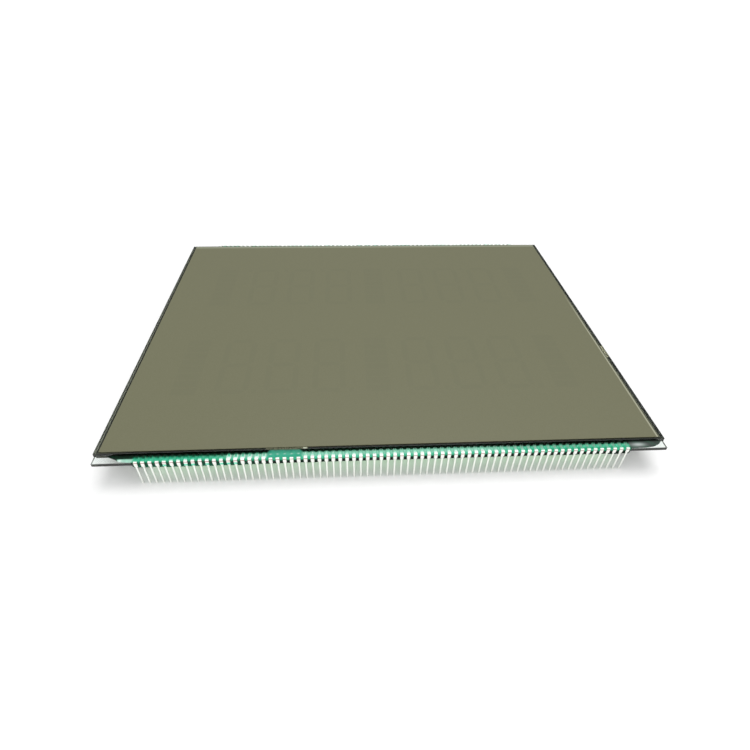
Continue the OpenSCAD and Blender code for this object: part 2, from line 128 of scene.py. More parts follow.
def make_plate_glass():
    glass, shader = make_finish("plate_glass_clear", GLASS_TINT, FACE_ROUGHNESS)
    tree = glass.node_tree
    shader.inputs["IOR"].default_value = GLASS_IOR
    shader.inputs["Transmission Weight"].default_value = 1
    # The flat faces are polished and the slanting ones between them are ground
    facing = tree.nodes.new("ShaderNodeNewGeometry")
    slant = tree.nodes.new("ShaderNodeSeparateXYZ")
    tree.links.new(facing.outputs["True Normal"], slant.inputs["Vector"])
    across = [calc(tree, "ABSOLUTE", slant.outputs[axis]) for axis in "XYZ"]
    flatness = calc(tree, "MAXIMUM", calc(tree, "MAXIMUM", across[0], across[1]), across[2])
    roughness = ramp_between(tree, flatness, FLAT_FROM, EDGE_ROUGHNESS, FACE_ROUGHNESS)
    tree.links.new(roughness, shader.inputs["Roughness"])
    # Painted shade: the ground faces are tinted darker
    tint = choose(tree, ramp_between(tree, flatness, FLAT_FROM), GROUND_SHADE_TINT, GLASS_TINT)
    # Painted shade: the two long cut faces are tinted near black. The left end of the ledges' ones is left
    # clear, which paints it as lit
    tint = choose(tree, ramp_between(tree, across[1], FLAT_FROM), tint, CUT_SHADE_TINT)
    place = find_place(tree)
    on_ledge = ramp_mm(tree, calc(tree, "ABSOLUTE", place["Y"]), LEDGE_FROM_Y)
    bright = calc(tree, "MULTIPLY", on_ledge, ramp_mm(tree, place["X"], PALE_END_X, 1, 0))
    tree.links.new(choose(tree, bright, tint, GLASS_TINT), shader.inputs["Base Color"])
    inside = tree.nodes.new("ShaderNodeVolumeAbsorption")
    inside.inputs["Color"].default_value = GLASS_GREEN
    inside.inputs["Density"].default_value = GLASS_DENSITY
    tree.links.new(inside.outputs["Volume"], tree.nodes["Material Output"].inputs["Volume"])
    return glass


def make_plate(name, node):
    """A plate in the place of a node, with ground edges and its faces a hair inside what is glued on."""
    low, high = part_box(node)
    bpy.ops.mesh.primitive_cube_add(size=1, location=(low + high) / 2)
    plate = bpy.context.object
    plate.name = name
    plate.scale = high - low
    bpy.ops.object.transform_apply(location=True, rotation=False, scale=True)
    ground = plate.modifiers.new("ground_edge", "BEVEL")
    ground.width = GROUND_EDGE
    ground.segments = GROUND_STEPS
    bpy.ops.object.modifier_apply(modifier=ground.name)
    for vertex in plate.data.vertices:
        if vertex.co.z < low.z + GROUND_EDGE / 4:
            vertex.co.z -= CONTACT
        if vertex.co.z > high.z - GROUND_EDGE / 4:
            vertex.co.z += CONTACT
    plate.data.materials.append(plate_glass)
    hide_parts(node)
    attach(plate, "root")
    plate.select_set(False)


plate_glass = make_plate_glass()
make_plate("rear_plate", "rear_glass")

# Reflector
# Aluminium foil behind a matte coat, glued to the rear polarizer. It sends the daylight back
# through the cell.
FOIL_GREY = (0.50, 0.51, 0.48, 1)
FOIL_PALE = (0.64, 0.65, 0.62, 1)
FOIL_ROUGHNESS = 0.45
FOIL_ROUGHNESS_RANGE = (0.35, 0.55)
FOIL_SPECKS = 3
FOIL_DENTS = 0.02 * MM
GRAIN_TAKES = (("Specks per mm", "Float"), ("Dark", "Color"), ("Light", "Color"), ("Smooth", "Float"),
               ("Rough", "Float"))
GRAIN_GIVES = (("Color", "Color"), ("Roughness", "Float"), ("Height", "Float"))
GRAIN_DETAIL = 3
GRAIN_SPREAD = (0.3, 0.7)
GRAIN_STRENGTH = 0.5


def make_fine_grain():
    """Fine specks that vary a colour and a roughness and raise or lower the surface."""
    group = bpy.data.node_groups.new("fine_grain", "ShaderNodeTree")
    for sockets, way in ((GRAIN_TAKES, "INPUT"), (GRAIN_GIVES, "OUTPUT")):
        for name, kind in sockets:
            group.interface.new_socket(name, in_out=way, socket_type="NodeSocket" + kind)
    given = group.nodes.new("NodeGroupInput").outputs
    result = group.nodes.new("NodeGroupOutput").inputs
    place = group.nodes.new("ShaderNodeTexCoord")
    specks = group.nodes.new("ShaderNodeTexNoise")
    specks.inputs["Detail"].default_value = GRAIN_DETAIL
    group.links.new(place.outputs["Object"], specks.inputs["Vector"])
    group.links.new(calc(group, "DIVIDE", given["Specks per mm"], MM), specks.inputs["Scale"])
    share = ramp_between(group, specks.outputs["Fac"], GRAIN_SPREAD)
    group.links.new(choose(group, share, given["Dark"], given["Light"]), result["Color"])
    extra = calc(group, "SUBTRACT", given["Rough"], given["Smooth"])
    group.links.new(calc(group, "MULTIPLY_ADD", extra, share, given["Smooth"]), result["Roughness"])
    group.links.new(specks.outputs["Fac"], result["Height"])
    return group


def add_grain(finish, shader, per_mm, tones, roughness, depth=0):
    """Places the grain in a material, between two tones and two roughnesses, with a bump of a depth."""
    tree = finish.node_tree
    grain = tree.nodes.new("ShaderNodeGroup")
    grain.node_tree = fine_grain
    for (name, kind), value in zip(GRAIN_TAKES, (per_mm, *tones, *roughness)):
        grain.inputs[name].default_value = value
    tree.links.new(grain.outputs["Color"], shader.inputs["Base Color"])
    tree.links.new(grain.outputs["Roughness"], shader.inputs["Roughness"])
    if depth:
        bump = tree.nodes.new("ShaderNodeBump")
        bump.inputs["Distance"].default_value = depth
        bump.inputs["Strength"].default_value = GRAIN_STRENGTH
        tree.links.new(grain.outputs["Height"], bump.inputs["Height"])
        tree.links.new(bump.outputs["Normal"], shader.inputs["Normal"])
    return grain


fine_grain = make_fine_grain()
foil, foil_shader = make_finish("foil_satin", FOIL_PALE, FOIL_ROUGHNESS)
foil_shader.inputs["Metallic"].default_value = 1
add_grain(foil, foil_shader, FOIL_SPECKS, (FOIL_GREY, FOIL_PALE), FOIL_ROUGHNESS_RANGE, FOIL_DENTS)
nodes["reflector"].data.materials[0] = foil

# Electrodes
# Films of indium tin oxide on the plates' inner sides, etched into segments and leads. They show
# only as a faint tint.
OXIDE_DEEP = (0.84, 0.90, 0.96, 1)
OXIDE_TINT = (0.90, 0.94, 0.98, 1)
OXIDE_IOR = 1.15
OXIDE_SPECKS = 0.5
CLEAR_ROUGHNESS = 0.05
CLEAR_ROUGHNESS_RANGE = (0.03, 0.08)


def make_clear_film(name, tones, ior, per_mm):
    film, shader = make_finish(name, tones[1], CLEAR_ROUGHNESS)
    shader.inputs["IOR"].default_value = ior
    shader.inputs["Transmission Weight"].default_value = 1
    add_grain(film, shader, per_mm, tones, CLEAR_ROUGHNESS_RANGE)
    return film


oxide = make_clear_film("oxide_clear", (OXIDE_DEEP, OXIDE_TINT), OXIDE_IOR, OXIDE_SPECKS)
for name in ("front_row_electrodes", "rear_row_electrodes", "common_electrodes"):
    nodes[name].data.materials[0] = oxide

# Alignment layers
# A thin coat of amber polyimide on each plate's inner side, baked on and rubbed in one direction
# with a cloth.
AMBER_DEEP = (0.80, 0.70, 0.46, 1)
AMBER_PALE = (0.88, 0.80, 0.58, 1)
AMBER_IOR = 1.2
AMBER_SPECKS = 8
polyimide = make_clear_film("polyimide_amber", (AMBER_DEEP, AMBER_PALE), AMBER_IOR, AMBER_SPECKS)
nodes["front_alignment_layer"].data.materials[0] = polyimide
nodes["rear_alignment_layer"].data.materials[0] = polyimide

# Liquid crystal
# A faintly cloudy liquid, drawn in through the filling port. It lies between the two alignment
# layers.
CLOUD_DEEP = (0.76, 0.78, 0.68, 1)
CLOUD_PALE = (0.86, 0.87, 0.80, 1)
CLOUD_IOR = 1.2
CLOUD_SPECKS = 0.2
cloudy = make_clear_film("crystal_cloudy", (CLOUD_DEEP, CLOUD_PALE), CLOUD_IOR, CLOUD_SPECKS)
nodes["liquid_crystal"].data.materials[0] = cloudy

# Crossover dots
# A drop of silver-filled epoxy at the end of each row, pressed flat between the plates. It joins the
# common film to its contact.
SILVER_GREY = (0.42, 0.42, 0.43, 1)
SILVER_PALE = (0.66, 0.67, 0.68, 1)
SILVER_METAL = 0.7
SILVER_ROUGHNESS = 0.5
SILVER_ROUGHNESS_RANGE = (0.4, 0.6)
SILVER_SPECKS = 25
silver, silver_shader = make_finish("epoxy_silver", SILVER_PALE, SILVER_ROUGHNESS)
silver_shader.inputs["Metallic"].default_value = SILVER_METAL
add_grain(silver, silver_shader, SILVER_SPECKS, (SILVER_GREY, SILVER_PALE), SILVER_ROUGHNESS_RANGE)
nodes["crossover_dots"].data.materials[0] = silver

# Seal
# A printed line of black epoxy that glues the two plates together and shuts the liquid crystal in.
# It reaches out to the plates' edges. Along the sides it is painted in pale and black bands; the black ones
# are painted shade, beside the film at the left and along the plate's edge at the right.
SHADE_BAND_BLACK = (0.012, 0.016, 0.006, 1)
EPOXY_DARK = (0.035, 0.044, 0.022, 1)
EPOXY_SHADE = (0.055, 0.066, 0.036, 1)
EPOXY_MID = (0.17, 0.17, 0.12, 1)
EPOXY_PALE_BAND = (0.30, 0.30, 0.24, 1)
EPOXY_SHINE = 0.2
EPOXY_ROUGHNESS = 0.4
EPOXY_ROUGHNESS_RANGE = (0.35, 0.5)
EPOXY_SPECKS = 6
# The inner colour, and then where each next one starts, measured from the middle of the display
# The black bands are painted shade
LEFT_BANDS = (SHADE_BAND_BLACK, (83.84, EPOXY_PALE_BAND), (84.2, EPOXY_MID))
RIGHT_BANDS = (EPOXY_MID, (83.75, SHADE_BAND_BLACK))
BAND_BLUR = 0.05
SIDE_FROM_X = (82.5, 82.6)
SIDE_TO_Y = (65.3, 65.5)
MIDDLE = (-1, 1)
BAND_FADE_Y = (-20, 50)
BAND_FADE_SHARE = 0.45
# Painted highlight towards the left front corner
HIGHLIGHT_CORNER_X = (-78, -73)
HIGHLIGHT_CORNER_SHARE = 0.8
RIM_MARGIN = 0.03
RIM_STEP = 1.0


def add_bands(tree, away, bands):
    """A colour that changes in steps with the distance from the middle."""
    result, *outer = bands
    for start, color in outer:
        reach = ramp_mm(tree, away, (start - BAND_BLUR, start + BAND_BLUR))
        result = choose(tree, reach, result, color)
    return result


def make_epoxy():
    epoxy, shader = make_finish("epoxy_black", EPOXY_DARK, EPOXY_ROUGHNESS, EPOXY_SHINE)
    grain = add_grain(epoxy, shader, EPOXY_SPECKS, (EPOXY_DARK, EPOXY_SHADE), EPOXY_ROUGHNESS_RANGE)
    tree = epoxy.node_tree
    place = find_place(tree)
    away = calc(tree, "ABSOLUTE", place["X"])
    # Painted shade in black bands along the sides; all the bands fade towards the back
    at_right = ramp_mm(tree, place["X"], MIDDLE)
    bands = choose(tree, at_right, add_bands(tree, away, LEFT_BANDS), add_bands(tree, away, RIGHT_BANDS))
    bands = choose(tree, ramp_mm(tree, place["Y"], BAND_FADE_Y, 0, BAND_FADE_SHARE), bands, EPOXY_DARK)
    # Painted highlight: the front margin is paler towards the left front corner
    at_corner = ramp_mm(tree, place["X"], HIGHLIGHT_CORNER_X, HIGHLIGHT_CORNER_SHARE, 0)
    at_front = ramp_mm(tree, place["Y"], MIDDLE, 1, 0)
    ends = choose(tree, calc(tree, "MULTIPLY", at_corner, at_front), grain.outputs["Color"], EPOXY_MID)
    at_side = ramp_mm(tree, away, SIDE_FROM_X)
    off_ends = ramp_mm(tree, calc(tree, "ABSOLUTE", place["Y"]), SIDE_TO_Y, 1, 0)
    result = choose(tree, calc(tree, "MULTIPLY", at_side, off_ends), ends, bands)
    tree.links.new(result, shader.inputs["Base Color"])
    return epoxy


def mix(a, b, share):
    return a + (b - a) * share


def start_layers(name, columns, rows):
    """A grid from -0.5 to 0.5 with a second layer extruded off it, one unit higher."""
    bpy.ops.mesh.primitive_grid_add(x_subdivisions=columns, y_subdivisions=rows, size=1)
    piece = bpy.context.object
    piece.name = name
    bpy.ops.object.mode_set(mode="EDIT")
    bpy.ops.mesh.select_all(action="SELECT")
    bpy.ops.mesh.extrude_region_move(TRANSFORM_OT_translate={"value": (0, 0, 1)})
    bpy.ops.object.mode_set(mode="OBJECT")
    return piece


def turn_outwards(merged_within=0):
    """Turns the active mesh's faces outwards, after its doubles are merged."""
    bpy.ops.object.mode_set(mode="EDIT")
    bpy.ops.mesh.select_all(action="SELECT")
    if merged_within:
        bpy.ops.mesh.remove_doubles(threshold=merged_within)
    bpy.ops.mesh.normals_make_consistent(inside=False)
    bpy.ops.object.mode_set(mode="OBJECT")


def make_seal_rim():
    """The seal's epoxy out to the plates' edges, from one side of the port to the other. It carries the
    seal's painted bands of shade.
    """
    rng = random.Random(5)
    low, high = (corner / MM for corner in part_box("perimeter_seal"))
    port_low, port_high = (corner.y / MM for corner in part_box("end_seal"))
    plate_x, plate_y = (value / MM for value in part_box("front_glass")[1].xy)
    corners = [(1, port_high / high.y), (1, 1), (-1, 1), (-1, -1), (1, -1), (1, port_low / high.y)]
    route = []
    for (x0, y0), (x1, y1) in zip(corners, corners[1:]):
        length = abs(x1 - x0) * high.x + abs(y1 - y0) * high.y
        steps = max(round(length / RIM_STEP), 1)
        route += [(mix(x0, x1, i / steps), mix(y0, y1, i / steps)) for i in range(steps)]
    route.append(corners[-1])
    rim = start_layers("seal_rim", len(route) - 1, 1)
    margin = [RIM_MARGIN + rng.uniform(0, RIM_MARGIN) for place in route]
    for vertex in rim.data.vertices:
        i = round((vertex.co.x + 0.5) * (len(route) - 1))
        x, y = route[i]
        if vertex.co.y > 0:
            half_x, half_y = high.x - RIM_MARGIN, high.y - RIM_MARGIN
        else:
            half_x, half_y = plate_x - margin[i], plate_y - margin[i]
        z = high.z if vertex.co.z > 0.5 else low.z
        vertex.co = (x * half_x * MM, y * half_y * MM, z * MM)
    turn_outwards()
    rim.data.materials.append(seal)
    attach(rim, "root")
    rim.select_set(False)


seal = make_epoxy()
nodes["perimeter_seal"].data.materials[0] = seal
make_seal_rim()

# End seal
# A plug of pale light-cured resin in the filling port, pushed in after the liquid crystal was drawn
# up.
PLUG_DEEP = (0.50, 0.45, 0.28, 1)
PLUG_PALE = (0.66, 0.62, 0.44, 1)
PLUG_ROUGHNESS = 0.25
PLUG_ROUGHNESS_RANGE = (0.2, 0.35)
PLUG_SPECKS = 2
PLUG_DENTS = 0.02 * MM
plug, plug_shader = make_finish("port_resin_pale", PLUG_PALE, PLUG_ROUGHNESS)
add_grain(plug, plug_shader, PLUG_SPECKS, (PLUG_DEEP, PLUG_PALE), PLUG_ROUGHNESS_RANGE, PLUG_DENTS)
nodes["end_seal"].data.materials[0] = plug

# Front plate
# The upper sheet of the same glass, as wide as the rear one and shorter by both ledges. The seal
# holds it.
make_plate("front_plate", "front_glass")

# Polarizers
# A stretched film of iodine-dyed plastic with a hard satin coat, cut inside the glass and glued to
# it. Unlit, the segments of the cell show through the front one only as faint ghosts.
OLIVE_DEEP = (0.153, 0.154, 0.094, 1)
OLIVE_PALE = (0.166, 0.166, 0.104, 1)
OLIVE_GHOST = (0.149, 0.151, 0.095, 1)
# Painted light: the back margin's light, the right edge's highlight and its shade
OLIVE_LIT_MARGIN = (0.25, 0.26, 0.19, 1)
PALE_EDGE_HIGHLIGHT = (0.34, 0.34, 0.25, 1)
DYED_DEEP = (0.03, 0.031, 0.02, 1)
DYED_PALE = (0.04, 0.041, 0.026, 1)
FILM_ROUGHNESS = 0.38
FILM_ROUGHNESS_RANGE = (0.34, 0.42)
FILM_SPECKS = 4
FILM_DENTS = 0.002 * MM
FRONT_SHINE = 0.15
REAR_SHINE = 0.2
BACK_MARGIN_Y = (63.4, 64.2)
SIDE_MARGIN_X = (82.05, 82.15)
SIDE_SHADE_X = (82.58, 82.66)
SIDE_SHADE_SHARE = 0.9
SIDE_FADE_Y = (-8, 24)
GHOST_SHARE = 0.45
GHOST_EDGE = 0.12
PITCH = 2
PINS = 73
ROW_HALF = (PINS - 1) * PITCH / 2
CELLS = 9
CELL_W = 8 * PITCH
FRONT_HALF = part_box("front_glass")[1].y / MM
DIGIT_H = 30
DIGIT_V = 24.3
STROKE_HALF = 1
STROKE_LOW = DIGIT_V + STROKE_HALF
STROKE_RISE = (DIGIT_H - 2 * STROKE_HALF) / 2
STROKE_MIDDLE = 7.4
STROKE_SPREAD = 4.6
SEGMENT_GAP = 0.5
POINT_U = 14.9
POINT_HALF = 0.7
BARS_EVERY = 4
BAR_HALF = 4
BAR_PITCH = (DIGIT_H + SEGMENT_GAP) / 8
BAR_H = BAR_PITCH - SEGMENT_GAP


def make_segment_ghosts():
    """A mask of the digits and bar stacks, worked out in millimetres from each row's first contact."""
    group = bpy.data.node_groups.new("segment_ghosts", "ShaderNodeTree")
    group.interface.new_socket("Mask", in_out="OUTPUT", socket_type="NodeSocketFloat")
    result = group.nodes.new("NodeGroupOutput")
    place = find_place(group)

    def find(operation, *values):
        return calc(group, operation, *values)

    # The characters' row, counted from its first contact, and the place in one character's cell
    y = find("DIVIDE", place["Y"], MM)
    turned = find("MULTIPLY", find("DIVIDE", place["X"], MM), find("MULTIPLY", find("SIGN", y), -1))
    cell = find("DIVIDE", find("ADD", turned, ROW_HALF + PITCH / 2), CELL_W)
    number = find("FLOOR", cell)
    u = find("MULTIPLY", find("SUBTRACT", cell, number), CELL_W)
    v = find("SUBTRACT", FRONT_HALF, find("ABSOLUTE", y))

    # Distance into each shape, negative outside it
    level = find("PINGPONG", find("SUBTRACT", v, STROKE_LOW), STROKE_RISE / 2)
    off_middle = find("ABSOLUTE", find("SUBTRACT", u, STROKE_MIDDLE))
    off_upright = find("ABSOLUTE", find("SUBTRACT", off_middle, STROKE_SPREAD))
    reach = find("MINIMUM", STROKE_HALF, find("SUBTRACT", STROKE_SPREAD - SEGMENT_GAP, off_middle))
    level_in = find("SUBTRACT", reach, level)
    rise = find("MINIMUM", STROKE_HALF, find("SUBTRACT", level, SEGMENT_GAP))
    upright_in = find("SUBTRACT", rise, off_upright)
    point_u = find("ABSOLUTE", find("SUBTRACT", u, POINT_U))
    point_v = find("ABSOLUTE", find("SUBTRACT", v, STROKE_LOW))
    point_in = find("MINIMUM", find("SUBTRACT", POINT_HALF, point_u), find("SUBTRACT", STROKE_HALF, point_v))
    digit_in = find("MAXIMUM", find("MAXIMUM", level_in, upright_in), point_in)
    bar_side = find("SUBTRACT", BAR_HALF, find("ABSOLUTE", find("SUBTRACT", u, CELL_W / 2)))
    bar_step = find("PINGPONG", find("SUBTRACT", v, DIGIT_V + BAR_H / 2), BAR_PITCH / 2)
    bar_in = find("MINIMUM", bar_side, find("SUBTRACT", BAR_H / 2, bar_step))

    is_bars = find("COMPARE", find("MODULO", number, BARS_EVERY), 0, 0.5)
    is_digit = find("SUBTRACT", 1, is_bars)
    shape_in = find("ADD", find("MULTIPLY", is_bars, bar_in), find("MULTIPLY", is_digit, digit_in))
    in_v = find("SUBTRACT", DIGIT_H / 2, find("ABSOLUTE", find("SUBTRACT", v, DIGIT_V + DIGIT_H / 2)))
    in_row = find("SUBTRACT", CELLS / 2, find("ABSOLUTE", find("SUBTRACT", cell, CELLS / 2)))
    shape_in = find("MINIMUM", shape_in, find("MINIMUM", in_v, in_row))
    group.links.new(ramp_between(group, shape_in, (-GHOST_EDGE, GHOST_EDGE)), result.inputs["Mask"])
    return group


def make_front_polarizer():
    film, shader = make_finish("polarizer_olive", OLIVE_PALE, FILM_ROUGHNESS, FRONT_SHINE)
    grain = add_grain(film, shader, FILM_SPECKS, (OLIVE_DEEP, OLIVE_PALE), FILM_ROUGHNESS_RANGE, FILM_DENTS)
    tree = film.node_tree
    ghosts = tree.nodes.new("ShaderNodeGroup")
    ghosts.node_tree = make_segment_ghosts()
    shown = calc(tree, "MULTIPLY", ghosts.outputs["Mask"], GHOST_SHARE)
    result = choose(tree, shown, grain.outputs["Color"], OLIVE_GHOST)
    # Painted light on the margins: the back one lighter, and the right one a painted highlight with painted
    # shade at its very edge, fading towards the back
    place = find_place(tree)
    result = choose(tree, ramp_mm(tree, place["Y"], BACK_MARGIN_Y), result, OLIVE_LIT_MARGIN)
    nearer = ramp_mm(tree, place["Y"], SIDE_FADE_Y, 1, 0)
    at_side = ramp_mm(tree, place["X"], SIDE_MARGIN_X)
    result = choose(tree, calc(tree, "MULTIPLY", at_side, nearer), result, PALE_EDGE_HIGHLIGHT)
    at_rim = ramp_mm(tree, place["X"], SIDE_SHADE_X, 0, SIDE_SHADE_SHARE)
    result = choose(tree, calc(tree, "MULTIPLY", at_rim, nearer), result, EPOXY_DARK)
    tree.links.new(result, shader.inputs["Base Color"])
    return film


nodes["front_polarizer"].data.materials[0] = make_front_polarizer()
dyed, dyed_shader = make_finish("polarizer_dark", OLIVE_DEEP, FILM_ROUGHNESS, REAR_SHINE)
add_grain(dyed, dyed_shader, FILM_SPECKS, (DYED_DEEP, DYED_PALE), FILM_ROUGHNESS_RANGE)
nodes["rear_polarizer"].data.materials[0] = dyed

# Pins
# Stamped and folded from 0.25 mm bronze strip and tin plated. Each grips the rear plate's edge, and
# the fold in its shoulder has cracked the tin along a fine reddish line.
TIN_GREY = (0.82, 0.84, 0.79, 1)
TIN_PALE = (0.93, 0.94, 0.90, 1)
TIN_METAL = 0.6
TIN_ROUGHNESS = 0.3
TIN_ROUGHNESS_RANGE = (0.3, 0.5)
TIN_SPECKS = 5
TIN_DENTS = 0.004 * MM
BRONZE = (0.42, 0.22, 0.20, 1)
CREASE_Z = 8.80
CREASE_HALF = 0.16
CREASE_FROM_Y = (68.95, 69.0)


def make_tin():
    tin, shader = make_finish("tin_bright", TIN_PALE, TIN_ROUGHNESS)
    shader.inputs["Metallic"].default_value = TIN_METAL
    grain = add_grain(tin, shader, TIN_SPECKS, (TIN_GREY, TIN_PALE), TIN_ROUGHNESS_RANGE, TIN_DENTS)
    tree = tin.node_tree
    place = find_place(tree)
    off_crease = calc(tree, "ABSOLUTE", calc(tree, "SUBTRACT", place["Z"], CREASE_Z * MM))
    on_crease = ramp_mm(tree, off_crease, (CREASE_HALF / 2, CREASE_HALF), 1, 0)
    outside = ramp_mm(tree, calc(tree, "ABSOLUTE", place["Y"]), CREASE_FROM_Y)
    cracked = calc(tree, "MULTIPLY", on_crease, outside)
    tree.links.new(choose(tree, cracked, grain.outputs["Color"], BRONZE), shader.inputs["Base Color"])
    return tin


tin = make_tin()
for name, node in nodes.items():
    if "_pins_" in name:
        node.data.materials[0] = tin

# Green resin
# Light-cured resin, run along each ledge from a needle to hold the fingers on their pads. It wetted
# the fingers' sides, ran down between the clips and hangs below the plate, and it cured glossy.
LEDGE_D = (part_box("rear_glass")[1].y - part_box("front_glass")[1].y) / MM
LEDGE_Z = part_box("rear_glass")[1].z / MM
PLATE_T = LEDGE_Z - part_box("rear_glass")[0].z / MM
ROW_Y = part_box("rear_glass")[1].y / MM
EDGE_R = GROUND_EDGE / MM
TURN_L = math.pi / 2 * EDGE_R
FACE_L = PLATE_T - 2 * EDGE_R
CLIP_HALF = 0.5
FINGER_END_HALF = 0.3
FINGER_TAPER_FROM = 0.35
FINGER_SLOPE = math.tan(math.radians(12))
FINGER_LOW_D = 1.35
FINGER_LOW_H = 0.27
FINGER_FLARE = 0.69
FINGER_FLARE_FROM = 0.06
FINGER_END = (2.08, 2.33)
PAST_FINGER_H = 0.36
COVER_EDGE = (-0.08, 0.08)
RUN_FROM = (0.35, 0.5)
SLACK = 1e-6
MERGED_WITHIN = 0.002 * MM
CREASE_ANGLE = math.radians(60)
# Walks, in millimetres over the rear plate's edge from where its front begins to turn, negative on
# the ledge
INNER_WALK = EDGE_R - LEDGE_D
TOE_WALK = -0.05
UNDER_WALK = 2 * TURN_L + FACE_L
END_WALK = UNDER_WALK + 0.8
LEDGE_ROWS = (0, 0.03, 0.07, 0.13, 0.2, 0.28, 0.37, 0.46, 0.55, 0.64, 0.73, 0.82, 0.9, 0.96, 1)
SKIRT_WALKS = (0.02, 0.08, TURN_L, 0.32, 0.55, 0.8, FACE_L + TURN_L, 1.11, 1.16, UNDER_WALK, 1.4, 1.65,
               END_WALK)
# Places along the row: round each pin, and where the resin's toe lies past the row's ends
PIN_COLUMNS = (-1, -0.75, -0.6, -0.53, -0.47, -0.4, -0.25, 0, 0.25, 0.4, 0.47, 0.53, 0.6, 0.75)
SIDE_COLUMN = 0.53
ROW_END = ROW_HALF + PITCH / 2
OUT_OF_ROW = (ROW_END - 0.4, ROW_END + 0.5)
LEFT_TOE = ((-80.9, 2.58), (-79.5, 2.0), (-77.9, 1.3), (-77.0, 0.55), (-75.5, 0.32), (-ROW_END, 0.15))
RIGHT_TOE = ((ROW_END, 0.15), (78.0, 0.25), (79.1, 0.39), (80.6, 0.61), (82.6, 1.55), (83.4, 2.58))
PLAIN_TOE = ((ROW_END, 0.15), (77.0, 0.5), (79.0, 1.0), (80.2, 1.7), (80.9, 2.58))
TOE_BLUR = 0.3
RUNOUT_STEP = 0.25
RUNOUT_H = 0.3
RUNOUT_ROUND = 1.2
TIP_FROM_X = (-77.6, -77.2)
POOL_DEPTH = (1.4, 0.16)
# Distances from a pin's middle along the row
CLIP_EDGE = (0.48, 0.52)
CLIP_SIDE = 0.54
FINGER_EDGE = (0.44, 0.53)
RIM_OFF = (0.58, 0.08)
# How much each pin's and each gap's share of resin strays
COVER_STRAY = (-0.08, 0.15)
COVER_PLAIN = (0.5, 1.1)
DROP_STRAY = (0.85, 1.15)
FILL_STRAY = (0.8, 1.25)
SKIN_T = (0.04, 0.09)
# Thickness in a gap, at the front plate's foot, over a bare finger and beside one
VALLEY_T = 0.15
FILLET_T = 0.03
FILLET_L = 0.1
BARE_T = -0.07
SIDE_T = (-0.10, 0.02)
CLIMB_POWER = 2.4
THINNEST = 0.006
# Pins, counted from the left: the heavy run, the pins with painted highlight loops, the second dose, the
# highlight blobs
HEAVY_TO = 12
LOOPS_TO = 18
BLOBS_TO = 31
DOSE_FROM = 19
DOSE_TO = 23
DOSE_X = (DOSE_FROM + DOSE_TO) / 2 * PITCH - ROW_HALF
DOSE_HALF = (DOSE_TO - DOSE_FROM + 1) / 2 * PITCH
DOSE_EDGE = (DOSE_HALF - 0.7, DOSE_HALF + 0.5)
HEAVY_FADE = (HEAVY_TO - 2, LOOPS_TO + 3)
BLOBS_FADE = (BLOBS_TO - 5, BLOBS_TO + 3)
FIRST_FADE = (3, 6)
RIGHT_FADE = (50, 60)
# Where the painted highlights lie by pin, by distance from a pin or by depth, as middle and width or rise
# and fall
LOOPS_DEPTH = ((0.1, 0.4), (1.5, 2.0))
BLOBS_OFF = (0, 0.28)
BLOBS_DEPTH = (1.6, 0.22)
SHEEN_PINS = ((8, 20), (50, 57))
SHEEN_DEPTH = ((0.3, 0.8), (1.6, 1.9))
CREST_DEPTHS = (1.85, 1.45)
CREST_W = 0.22
CRESTS_FADE = (48, 58)
TENTS_OFF = (0.5, 0.14)
TENTS_DEPTH = ((1.2, 1.6), (2.1, 2.35))
DASHES_OFF = (0, 0.4)
DASHES_DEPTH = (1.05, 0.16)
# Tables of places and values: by pin, by depth on the ledge, or by walk
COVER_FROM = ((0, 12, 13, 18, 19, 23, 24, 50, 62), (-0.08, -0.04, 0.5, 0.5, -0.08, -0.08, 0.7, 0.7, -0.08))
DROP_SIZES = ((0, 4, 13, 19, 24, 40, 72), (1.8, 2.8, 3.0, 2.0, 1.9, 2.0, 2.7))
DOSE_T = ((0, 0.3, 0.6, 1.2, LEDGE_D), (0.30, 0.52, 0.86, 1.0, 1.14))
WEB_WALKS = (TOE_WALK, TURN_L, 0.6, TURN_L + FACE_L, 1.135, UNDER_WALK, 1.45, 1.75, END_WALK)
WEB_T = (0.12, 0.14, 0.17, 0.20, 0.20, 0.20, 0.16, 0.08, 0.015)
HANG_T = (0, 0, 0, 0, 0.13, 0.30, 0.27, 0.13, 0)
RUN_T = ((0.55, 0.75, 1.1, UNDER_WALK, 1.3), (0, 0.42, 0.5, 0.2, 0))
# By the front plate's foot the gap, heavy-run and dose tones fall towards black: painted shade
GAP_TONES = ((0, 0.45, 0.9, 1.35, 1.7, 2.0, 2.35, 2.6), (0.57, 0.60, 0.61, 0.61, 0.62, 0.50, 0.22, 0.03))
HEAVY_TONES = ((0, 0.45, 0.9, 1.35, 1.7, 2.0, 2.35, 2.6), (0.46, 0.53, 0.58, 0.56, 0.42, 0.22, 0.09, 0.02))
SKIN_TONES = ((0, 0.3, 0.6, 0.9, 1.3, 1.6, 2.0), (1, 0.82, 0.60, 0.48, 0.36, 0.18, 0.10))
DOSE_TONES = ((0, 0.6, 1.2, 1.5, 1.8, 2.2, 2.6), (0.56, 0.58, 0.55, 0.48, 0.40, 0.32, 0.24))
# Down the face and underneath the tones are painted shade, near black between the clips
DOWN_TONES = ((-0.05, 0.16, 0.35, 0.55, 0.75, 0.9), (0.56, 0.50, 0.36, 0.14, 0.03, 0))
HEAVY_DOWN = ((-0.05, 0.1, 0.25, 0.6, 0.95, 1.2, 1.5), (0.38, 0.25, 0.15, 0.12, 0.16, 0.30, 0.5))


def smooth_step(low, high, value):
    t = np.clip((value - low) / (high - low), 0, 1)
    return t * t * (3 - 2 * t)


def bell(value, middle, width):
    """1 at the middle, falling away on both sides."""
    return np.exp(-((value - middle) / width) ** 2)


